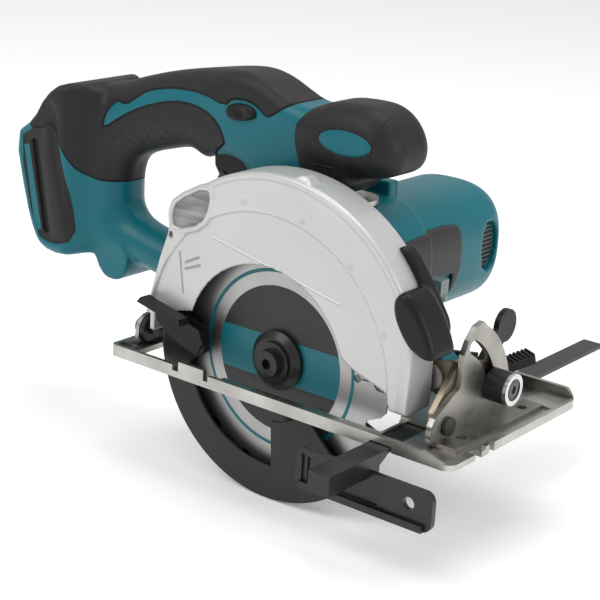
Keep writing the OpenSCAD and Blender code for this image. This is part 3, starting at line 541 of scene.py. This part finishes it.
# soft black cover of the grip, with the bare teal stripe as a notch in its side
OVERMOULD = [(-190, 103), (-186, 112), (-178, 124), (-166, 134), (-138, 138), (-109, 148), (-70, 157),
             (-47, 160), (-20, 152), (-4, 149), (-6.5, 146.8), (-19, 141.2), (-27.7, 134.6),
             (-31.6, 133.4), (-36.5, 137.3), (-43.3, 139.8), (-54.1, 139.3), (-58, 134.7), (-72.8, 138.7),
             (-94, 138.3), (-114.5, 133.8), (-122.5, 127.9), (-127, 124.7), (-132, 123.8), (-136, 124.9),
             (-141.4, 119.8), (-144.6, 113), (-144.5, 107.9), (-130.5, 117.4), (-115.7, 124.8),
             (-101, 129.8), (-86.7, 132.3), (-72.4, 130.7), (-62.3, 125), (-57.7, 116.1), (-58.3, 114.4),
             (-67.1, 108.5), (-68.6, 105.5), (-70, 96), (-84, 96), (-100, 94), (-120, 88), (-129.5, 79),
             (-138.5, 78.1), (-148, 78.7), (-156, 83), (-160.1, 89.1), (-165.1, 97.5), (-171.7, 109.6),
             (-178, 104)]
PANEL = [(-197.6, 95.7), (-186, 103), (-183.6, 106.8), (-178, 117.5), (-172.3, 121.3), (-166, 112),
         (-166.4, 98.4), (-162.2, 80.7), (-157.9, 65.3), (-156, 42.7), (-169.8, 38.5), (-184.8, 41.8)]
DOTTED = [(-140, 104), (-126, 115), (-110, 121), (-92, 124), (-78, 120), (-74, 111), (-92, 109), (-116, 104),
          (-130, 97)]
DOT_PITCH = 6.5
DOT_SIZE = 0.8
STRIP = [(-194.3, 92.2), (-190.1, 92.9), (-179.8, 45.3), (-184.8, 44.2)]
PANEL_SLOT = [(-188.3, 96), (-184.3, 97), (-174.2, 45), (-178.4, 44)]
PANEL_RIB = [(-182, 104), (-170.5, 112), (-170.5, 98), (-166, 80), (-161.5, 64), (-159.5, 48), (-168, 43),
             (-172.5, 45)]
PANEL_FLOOR = 29.5
SLOT_FLOOR = 26.5
RIB_FOOT = 26
RIB_TOP = 31.2


def holder_relief(field, x, across, z):
    """Sunk panel of the battery holder, its deep slot, and the rounded rib beside the slot."""
    panel = outline_distance(x, z, smooth_outline(PANEL, 1))
    field = cut(field, np.maximum(panel, PANEL_FLOOR - across), 0.8)
    slot = outline_distance(x, z, PANEL_SLOT)
    field = np.maximum(field, -np.maximum(slot, SLOT_FLOOR - across))
    rib = rounded(outline_distance(x, z, smooth_outline(PANEL_RIB, 1)), across, RIB_TOP, 4.5, 3.0)
    return join(field, np.maximum(rib, RIB_FOOT - across), 0.8)


LOCK = [(-57.5, 130), (-56, 136.5), (-45, 138.2), (-38, 136), (-37.5, 131), (-50, 128)]
LOCK_STEP = 0.6
LOCK_HALF = 18.9
DISH_AT = (-47, 25, 133.5)
DISH_R = 7.2


def make_lock_button(mats):
    """Rounded block that slides across the handle, with a dished face at each end."""
    low, high = (-60, -21, 124), (-33, 21, 142)
    x, y, z = grid(low, high, LOCK_STEP)
    flat = outline_distance(*side_view(x, z), smooth_outline(LOCK, 2))
    field = rounded(flat, np.abs(y), LOCK_HALF, 1.6, 1.6)
    dish = np.sqrt((x - DISH_AT[0]) ** 2 + (np.abs(y) - DISH_AT[1]) ** 2 + (z - DISH_AT[2]) ** 2) - DISH_R
    field = cut(field, dish, 0.6)
    piece, _ = skin("lock_button", field, low, LOCK_STEP)
    relax(piece, 1)
    place(piece, "lock_off", "black_plastic", mats["black"], "lock_off")


LUG = [(20, 84), (56, 62), (88.5, 34), (84, 20.7), (70, 27), (30, 40)]
LUG_Y = -13.1
LUG_HALF = 6.0
EYE_R = 7.4
EYE_BORE_R = 4.05


def make_front_lug():
    """Teal lug that carries the saw on the depth pin."""
    low, high = (14, -21, 16), (95, -5, 90)
    x, y, z = grid(low, high, DETAIL)
    flat_x, flat_z = side_view(x, z)
    arm = outline_distance(flat_x, flat_z, LUG)
    eye = np.hypot(flat_x - DEPTH_PIN[0], flat_z - DEPTH_PIN[2])
    flat = np.maximum(join(arm, eye - EYE_R, 2.0), EYE_BORE_R - eye)
    field = rounded(flat, np.abs(y - LUG_Y), LUG_HALF, 1.0, 1.0)
    piece, _ = skin("front_lug", field, low, DETAIL)
    relax(piece, 1)
    place(piece, "saw", "teal_plastic", teal_look("front_lug").done())


def handle_field(x, y, z):
    flat_x, flat_z = side_view(x, z)
    across = np.abs(y)
    outline = np.array(GRIP_TOP + GRIP_FRONT + GRIP_UNDER + GRIP_REAR)
    flat = outline_distance(flat_x, flat_z, smooth_outline(outline, 2))
    half = blend_to(flat_x, -72, -40, 17.0, 16.6)
    bulge = blend_to(flat_x, -80, -52, 19.0, 9.0)
    grip = rounded(flat, across, half, bulge, blend_to(flat_x, -80, -52, 15.0, 7.0))
    holder_flat = outline_distance(flat_x, flat_z, smooth_outline(HOLDER, 1))
    holder_half = blend_to(flat_x, -165, -145, HOLDER_HALF, 17.0)
    field = join(grip, rounded(holder_flat, across, holder_half, 6.0, 6.0), 5.0)
    field = join(field, tube(x, z, across, BEAM_PATH, BEAM_FLATNESS), 7.0)
    boss = np.sqrt((x - BOSS_AT[0]) ** 2 + (z - BOSS_AT[1]) ** 2) - BOSS_R
    field = join(field, np.maximum(boss, across - BOSS_HALF), 5.0)
    # open socket for the battery at the rear
    socket = np.maximum(x - SOCKET_FRONT, np.abs(z - SOCKET_Z) - SOCKET_HALF_Z)
    field = np.maximum(field, -np.maximum(socket, across - SOCKET_HALF_Y))
    # the trigger's slot
    slot = np.maximum(np.abs(x - TRIGGER_X) - TRIGGER_SLOT_HALF, across - TRIGGER_SLOT_Y)
    slot = np.maximum(slot, z - TRIGGER_SLOT_Z[1])
    field = np.maximum(field, -np.maximum(slot, TRIGGER_SLOT_Z[0] - z))
    return holder_relief(field, flat_x, across, flat_z)


def handle_look():
    look = teal_look("handle_shell")
    over = look.attribute("over")
    dots = look.dots(DOT_PITCH * MM, DOT_SIZE * MM)
    look.raise_by(look.math("MULTIPLY", dots, look.step(look.attribute("dotted"), 0, 0.5)), 0.5)
    panel = look.step(look.attribute("panel"), -0.15, 0.15)
    look.paint(look.math("MAXIMUM", look.step(over, -0.15, 0.15), panel), BLACK, 0.5)
    look.paint(look.step(look.attribute("strip"), -0.1, 0.3), TEAL, 0.3)
    seam = look.near_zero(over, 0.2, 0.7)
    look.paint(seam, (0.004, 0.006, 0.006), 0.7)
    look.raise_by(seam, -0.6)
    look.raise_by(look.step(over, -0.2, 0.8), 0.5)
    return look.done()


def make_handle():
    low, high = (-206, -34, 18), (2, 34, 156)
    piece, verts = skin("handle", handle_field(*grid(low, high)), low)
    vx, vy, vz = verts.T
    across = np.abs(vy)
    mark(piece, "strip", np.where(across > 26, -outline_distance(vx, vz, STRIP), -3))
    mark(piece, "over", -outline_distance(vx, vz, smooth_outline(OVERMOULD, 1)))
    panel = -outline_distance(vx, vz, smooth_outline(PANEL, 1))
    mark(piece, "panel", np.where(across > 24, panel, -3))
    mark(piece, "dotted", -outline_distance(vx, vz, DOTTED))
    relax(piece, 3)
    replaced = "shell_right", "shell_left", "grip_rubber", "battery_rails"
    place(piece, "saw", "teal_plastic", handle_look(), *replaced)


# ---------------------------------------------------------------- front knob
KNOB = [(-12, 139), (-4, 143), (6, 147), (20, 148), (32, 147.5), (42, 141.5), (48.5, 131), (48.5, 121),
        (44, 115.5), (30, 111.5), (12, 112), (-6, 115), (-14, 122), (-15, 132)]
NECK = [(-13, 138), (10, 138), (22.5, 122), (22.5, 103), (4, 101), (-10, 108), (-15, 122)]
KNOB_HALF = 21.0
NECK_HALF = 17.5
INSET_AT = (21, 130)
INSET_RADII = (15.5, 6.2)
BADGE_AT = (7, 113)
BADGE_HALVES = (6.5, 2.6)


def make_knob():
    low, high = (-20, -23, 97), (52, 23, 151)
    x, y, z = grid(low, high, DETAIL)
    flat_x, flat_z = side_view(x, z)
    across = np.abs(y)
    ball = rounded(outline_distance(flat_x, flat_z, smooth_outline(KNOB, 2)), across, KNOB_HALF, 15.0, 14.0)
    neck = rounded(outline_distance(flat_x, flat_z, smooth_outline(NECK, 1)), across, NECK_HALF, 5.0, 9.0)
    piece, verts = skin("front_grip", join(ball, neck, 4.0), low, DETAIL)
    vx, vy, vz = verts.T
    over_middle = vz - INSET_AT[1]
    leaning = vx - INSET_AT[0] + 0.05 * over_middle
    inset = np.hypot(leaning / INSET_RADII[0], over_middle / INSET_RADII[1]) - 1
    mark(piece, "inset", np.where(np.abs(vy) > 12, -inset * 8, -4))
    badge = np.maximum(np.abs(vx - BADGE_AT[0]) - BADGE_HALVES[0], np.abs(vz - BADGE_AT[1]) - BADGE_HALVES[1])
    mark(piece, "badge", np.where(vy < -10, -badge, -4))
    mark(piece, "seam", vx - 37 - 0.12 * over_middle)
    relax(piece, 3)
    look = Look("front_grip", BLACK, 0.5, specular=0.3)
    look.vary(0.12)
    look.grain(2200, 0.05)
    inset = look.attribute("inset")
    look.paint(look.step(inset, -0.1, 0.15), TEAL, 0.3)
    look.raise_by(look.near_zero(inset, 0.1, 0.6), -0.6)
    look.raise_by(look.near_zero(look.attribute("badge"), 0.1, 0.5), 0.4)
    look.raise_by(look.near_zero(look.attribute("seam"), 0.1, 0.5), -0.4)
    place(piece, "saw", "black_rubber", look.done(), "front_knob", "knob_inlay")


# ---------------------------------------------------------------- motor and gear housing
MOTOR_ROUND = 16
HOUSING_SEAM = 29
GEAR_RADII = (31.5, 33.5)
GEAR_NEAR = -24.9
HUB_R = 16.5
VENT_Y = 93
VENT_RADII = (9.5, 14)
VENT_DEPTH = 6


def squircle(x, z, centre, rx, rz, power):
    """Distance to a rounded square about a line along Y."""
    u = np.abs(x - centre[0]) / rx
    v = np.abs(z - centre[2]) / rz
    return ((u ** power + v ** power) ** (1 / power) - 1) * np.minimum(rx, rz)


def motor_field(x, y, z):
    """The motor's squarish barrel, wider over the gears, closing at its rounded end."""
    shrink = np.clip((y - (MOTOR_END - MOTOR_ROUND)) / MOTOR_ROUND, 0, 1)
    radius = MOTOR_R * (1 - 0.2 * shrink ** 2.2)
    wide = blend_to(y, 27, 31, 3.0, 0.0)
    barrel = squircle(x, z, MOTOR, radius + wide, radius + wide, 2.7)
    return np.maximum(barrel, y - MOTOR_END)


def gear_field(x, z):
    return squircle(x, z, MOTOR, *GEAR_RADII, 2.5)


def housing_field(x, y, z):
    motor = np.maximum(motor_field(x, y, z), -6 - y)
    gears = np.maximum(np.maximum(gear_field(x, z), GEAR_NEAR - y), y - 4)
    hub = np.hypot(x - ARBOR[0], z - ARBOR[2]) - HUB_R
    hub = np.maximum(np.maximum(hub, GEAR_NEAR - y), y + 6)
    waist = np.maximum(np.abs(x - 3) - 17, np.abs(z - 30) - 16)
    waist = np.maximum(waist, np.maximum(GEAR_NEAR - y, y - 14))
    field = join(join(motor, gears, 2.5), join(hub, waist, 6), 6)
    # tab beside the knob's neck
    tab = np.maximum(np.maximum(np.abs(x - 12) - 8, np.abs(y - 27) - 4), np.abs(z - 98) - 5.5)
    field = join(field, tab, 1.5)
    # oval air vent on the front side
    vent = np.hypot((y - VENT_Y) / VENT_RADII[0], (z - MOTOR[2] - 1) / VENT_RADII[1])
    vent = np.maximum(vent - 1, 0) * 9
    pit = np.maximum(vent - 0.01, MOTOR[0] + MOTOR_R - VENT_DEPTH - x)
    return np.maximum(field, -pit)


def motor_look():
    look = teal_look("motor_shell")
    seam = look.near_zero(look.attribute("seam"), 0.15, 0.5)
    look.paint(seam, (0.0, 0.03, 0.035))
    vent = look.step(look.attribute("vent"), 0.3, 0.7)
    look.paint(vent, BLACK, 0.6)
    waves = look.math("SINE", look.math("MULTIPLY", look.axis(2), 2600.0))
    slats = look.math("MULTIPLY", vent, look.step(waves, -0.2, 0.4))
    look.paint(slats, (0.10, 0.11, 0.11))
    look.raise_by(slats, 0.6)
    look.raise_by(seam, -0.4)
    return look.done()


def make_motor():
    low, high = (-30, -27, -2), (48, MOTOR_END + 3, 106)
    piece, verts = skin("motor_shell", housing_field(*grid(low, high)), low)
    vx, vy, vz = verts.T
    mark(piece, "seam", vy - HOUSING_SEAM)
    sunk = vx < MOTOR[0] + MOTOR_R - 4.5
    in_oval = np.hypot((vy - VENT_Y) / 9, (vz - MOTOR[2] - 1) / 13.5) < 1
    mark(piece, "vent", sunk & in_oval & (vx > MOTOR[0] + 15))
    relax(piece, 2)
    place(piece, "saw", "teal_plastic", motor_look(), "motor_housing", "motor_cap", "gear_housing")


# outline in (y, z)
SIDE_SHEET = [(-20, 30), (-20, 77), (20, 80), (58, 80), (62, 74), (61, 50), (50, 36), (10, 30)]


def make_side_panel(mats):
    """Grey sheet round the front of the housings, with a square recess."""
    low, high = (14, -22, 28), (50, 66, 90)
    x, y, z = grid(low, high, DETAIL)
    motor = np.minimum(motor_field(x, y, z), gear_field(x, z) + np.maximum(y - 4, 0))
    sheet = outline_distance(y[:1], z[:1], smooth_outline(SIDE_SHEET, 1))
    shell = np.maximum(rounded(sheet, motor + 10, 12.0, 2.0, 1.5), 16 - x)
    recess = np.maximum(np.maximum(np.abs(y - 42) - 11, np.abs(z - 44) - 10), 36.5 - x)
    piece, _ = skin("side_panel_shell", np.maximum(shell, -recess), low, DETAIL)
    relax(piece, 2)
    place(piece, "saw", "grey_plastic", mats["grey"], "side_panel")


# ---------------------------------------------------------------- blade case
CASE_AT = (3, 26)
CASE_R = 89
CASE_FRONT = 85.5
CASE_FOOT = 14
CASE_Y = -36.5
CASE_HALF = 11.5
CASE_WALL = 3.0
CASE_REAR = [(-66, 140), (-66, 85), (-68, 71), (-73, 57), (-78, 39), (-82, 25), (-82.5, 10)]
LOWER_REAR = [(-100, -10), (-100, 24), (-84, 24), (-44, 34), (-20, -10)]
LOWER_FRONT = [(20, -10), (40, 38), (47, 31), (54, 27.5), (66, 24), (76, 20), (77, -10)]
DUST = [(-65, 82), (-62, 89), (-41, 100.5), (-39.5, 92), (-45, 80), (-63, 74)]
WINDOW_X = -3
WINDOW_R = 50
# Y of the near face's steps, from the rim inwards
RIM_Y = -48.0
GROOVE_Y = -47.3
STEP_Y = -47.2
BAND_Y = -45.9
DUST_Y = -45.6
MARK_R = 1.9
LINE = (-39, 75), (43, 59)


def case_shape(x, z, inset=0.0):
    circle = np.hypot(x - CASE_AT[0], z - CASE_AT[1]) - (CASE_R - inset)
    behind = [(rear_x + inset, rear_z) for rear_x, rear_z in CASE_REAR] + [(-130, 10), (-130, 140)]
    rear = outline_distance(x, z, behind)
    return np.maximum(np.maximum(circle, x - CASE_FRONT + inset), np.maximum(-rear, CASE_FOOT - z))


MARKS = [(-18.5, 98), (18, 95.5), (48, 79.5), (70, 51)]
ARROW = [(-60, 62), (-57, 41)], [(-56, 57.5), (-47, 62)], [(-56, 54), (-46, 58)]


def segment_distance(u, v, start, end):
    ex, ey = end[0] - start[0], end[1] - start[1]
    t = np.clip(((u - start[0]) * ex + (v - start[1]) * ey) / (ex * ex + ey * ey), 0, 1)
    return np.hypot(u - start[0] - t * ex, v - start[1] - t * ey)


def case_body(x, y, z):
    """Hollow half disc with its window and lower cuts."""
    flat_x, flat_z = side_view(x, z)
    solid = rounded(case_shape(flat_x, flat_z), np.abs(y - CASE_Y), CASE_HALF, 2.2, 2.2)
    hollow = np.maximum(case_shape(flat_x, flat_z, CASE_WALL), np.abs(y + 36) - 8.5)
    window = np.hypot(flat_x - WINDOW_X, flat_z - ARBOR[2]) - WINDOW_R
    lower_rear = outline_distance(flat_x, flat_z, LOWER_REAR)
    lower_front = outline_distance(flat_x, flat_z, smooth_outline(LOWER_FRONT, 1))
    near_cut = np.maximum(np.minimum(window, np.minimum(lower_rear, lower_front)), y + 43)
    far_cut = np.maximum(np.maximum(np.abs(flat_x) - 62, flat_z - 20), -30 - y)
    field = np.maximum(solid, -np.minimum(np.minimum(hollow, near_cut), far_cut))
    return np.maximum(field, -np.maximum(np.hypot(flat_x - ARBOR[0], flat_z - ARBOR[2]) - 15.6, -30 - y))


def case_relief(field, x, y, z):
    """The near face's steps, groove, marks and dust recess, the bump on top and the screw hole."""
    flat_x, flat_z = side_view(x, z)
    # the near face steps back inside the rim
    around_hub = 20 - np.hypot(flat_x - WINDOW_X, flat_z - ARBOR[2])
    flat_area = np.maximum(case_shape(flat_x, flat_z, 5.0), around_hub)
    field = cut(field, np.maximum(flat_area, y - STEP_Y), 0.8)
    inner = np.maximum(np.hypot(flat_x + 2, flat_z - 18) - 76, -1)
    field = cut(field, np.maximum(inner, y - BAND_Y), 0.6)
    # groove inside the rim's outer ridge, and small blind marks round the band
    groove = np.maximum(np.abs(case_shape(flat_x, flat_z, CASE_WALL)) - 0.7, y - GROOVE_Y)
    field = cut(field, groove, 0.5)
    for mark_x, mark_z in MARKS:
        dot = np.sqrt((x - mark_x) ** 2 + (y - RIM_Y) ** 2 + (z - mark_z) ** 2) - MARK_R
        field = cut(field, dot, 0.4)
    dust = outline_distance(flat_x, flat_z, smooth_outline(DUST, 1))
    field = join(field, rounded(dust - 3, np.abs(y + 46), 2.4, 1.5, 1.5), 1.2)
    field = cut(field, np.maximum(dust, y - DUST_Y), 1.0)
    bump = np.hypot(x - 15, z - 111) - 5.5
    field = join(field, np.maximum(bump, np.abs(y + 41) - 4), 1.5)
    hole = np.hypot(x + 65.5, z - 70.5) - 1.7
    return np.maximum(field, -np.maximum(hole, y + 44))


def case_look():
    look = Look("cast_case", (0.55, 0.55, 0.545), 0.38, metal=0.4)
    look.vary(0.06, 20)
    look.grain(1700, 0.012)
    near = look.step(look.attribute("near"), 44.6, 45.2)
    engraved = look.math("MULTIPLY", look.near_zero(look.attribute("line"), 0.3, 0.8), near)
    look.paint(engraved, (0.75, 0.75, 0.74))
    arrow = look.math("MULTIPLY", look.near_zero(look.attribute("arrow"), 0.3, 0.8), near)
    look.paint(arrow, (0.33, 0.33, 0.33))
    look.raise_by(arrow, -0.4)
    dust = look.step(look.attribute("dust"), -0.2, 0.6)
    streaks = look.step(look.noise(90, 2.0, (0.4, 1, 3.0)), 0.3, 0.7)
    look.paint(dust, (0.16, 0.16, 0.155), 0.35)
    look.paint(look.math("MULTIPLY", dust, streaks), (0.34, 0.34, 0.33))
    look.raise_by(engraved, 0.5)
    return look.done()


def make_case():
    low, high = (-86, -50, 10), (90, -22, 120)
    x, y, z = grid(low, high, DETAIL)
    piece, verts = skin("upper_case", case_relief(case_body(x, y, z), x, y, z), low, DETAIL)
    vx, vy, vz = verts.T
    mark(piece, "near", -vy)
    mark(piece, "line", segment_distance(vx, vz, *LINE))
    mark(piece, "arrow", np.min([segment_distance(vx, vz, *ends) for ends in ARROW], axis=0))
    dust = 0.6 - outline_distance(vx, vz, smooth_outline(DUST, 1))
    mark(piece, "dust", np.where(vy > STEP_Y, dust, -2))
    relax(piece, 2)
    place(piece, "saw", "cast_alloy", case_look(), "blade_case")


LEAF = [(75, 71), (81, 76), (88, 71), (95, 61), (99.5, 51), (100.5, 46.5), (94, 44.5), (85, 48.5),
        (79.5, 55.3), (75.5, 63)]
BACK_LEAF = [(66, 91), (71, 89), (80, 78), (88, 66), (93, 58), (93, 50), (86, 50), (80, 60), (70, 76),
             (63, 87)]
SHIELD_STEP = 0.7
LEAF_Y = -40.5
LEAF_HALF = 10.6
BACK_Y = -29
BACK_HALF = 4.5
CASE_GAP = 0.2


def make_shield(mats):
    """Black leaf that closes the front of the case above the base, with a lower plate behind it."""
    low, high = (56, -54, 40), (108, -22, 100)
    x, y, z = grid(low, high, SHIELD_STEP)
    flat_x, flat_z = side_view(x, z)
    crease = np.abs((x - 78) * 0.77 + (z - 68) * 0.64 - 6) * 0.05
    flat = outline_distance(flat_x, flat_z, smooth_outline(LEAF, 2))
    leaf = rounded(flat, np.abs(y - LEAF_Y) + crease, LEAF_HALF, 3.5, 4.0)
    back_flat = outline_distance(flat_x, flat_z, smooth_outline(BACK_LEAF, 1))
    back = rounded(back_flat, np.abs(y - BACK_Y), BACK_HALF, 1.5, 1.5)
    circle = np.hypot(x - CASE_AT[0], z - CASE_AT[1]) - (CASE_R + CASE_GAP)
    inside = np.maximum(circle, x - (CASE_FRONT + CASE_GAP))
    field = np.maximum(join(leaf, back, 1.5), -np.maximum(inside, -48.3 - y))
    piece, _ = skin("chip_shield", field, low, SHIELD_STEP)
    relax(piece, 2)
    place(piece, "saw", "black_plastic", mats["black"], "front_shield")


# ---------------------------------------------------------------- finish of the CAD pieces
EDGE = 0.4          # width of the eased edges
EDGE_ANGLE = 50     # degrees from which an edge is eased
SCREW_R = 5.5

CAD_LOOKS = {
    "steel": ["base_plate", "rear_ear", "depth_pin", "knob_collar", "bearings", "spindle", "spindle_gear",
              "armature_shaft", "idler_shaft", "idler_wheel", "guard_spring", "depth_bolt"],
    "bracket": ["bevel_quadrant", "stator_can"],
    "zinc": ["front_hinge"],
    "dark": ["bevel_pins", "fence_boss", "case_screws", "magnets", "rotor_core", "inner_flange", "blade_tips",
             "brushes", "fence_screws"],
    "enamel": ["fence_arm", "fence_plate", "depth_guide", "bevel_sleeve", "outer_flange", "blade_bolt"],
    "guard": ["lower_guard"],
    "black": ["fence_lever", "bevel_lever", "switch_body", "controller", "depth_lever", "guard_lever",
              "trigger", "shaft_lock", "guard_stop"],
    "grey": ["fan"],
    "brass": ["battery_terminals", "brush_holders", "commutator"],
    "lens": ["lamp_lens"],
}


def bolt_look():
    """Chrome ring round a dark screw end, about the bevel bolt's axis."""
    look = Look("bolt_end", (0.62, 0.62, 0.61), 0.2, metal=1.0)
    look.vary(0.1, 60)
    radius = look.radius(middle("bevel_sleeve"), (1, 2))
    look.paint(look.math("LESS_THAN", radius, SCREW_R * MM), (0.10, 0.10, 0.10), 0.35)
    return look.done()


def dress(node, mat, bevel=EDGE):
    """Gives a CAD node its material, and eased edges where bevel isn't 0."""
    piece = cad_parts[node]
    for slot in piece.material_slots:
        slot.material = mat
    if bevel:
        modifier = piece.modifiers.new("edge", "BEVEL")
        modifier.width = bevel * MM
        modifier.segments = 2
        modifier.limit_method = "ANGLE"
        modifier.angle_limit = math.radians(EDGE_ANGLE)


make_camera()
make_studio()
mats = make_plain_looks()
for key, nodes in CAD_LOOKS.items():
    for node in nodes:
        dress(node, mats[key])
dress("blade", blade_look(), 0)
dress("bevel_bolt", bolt_look())
make_handle()
make_knob()
make_motor()
make_side_panel(mats)
make_case()
make_shield(mats)
make_lock_button(mats)
make_front_lug()
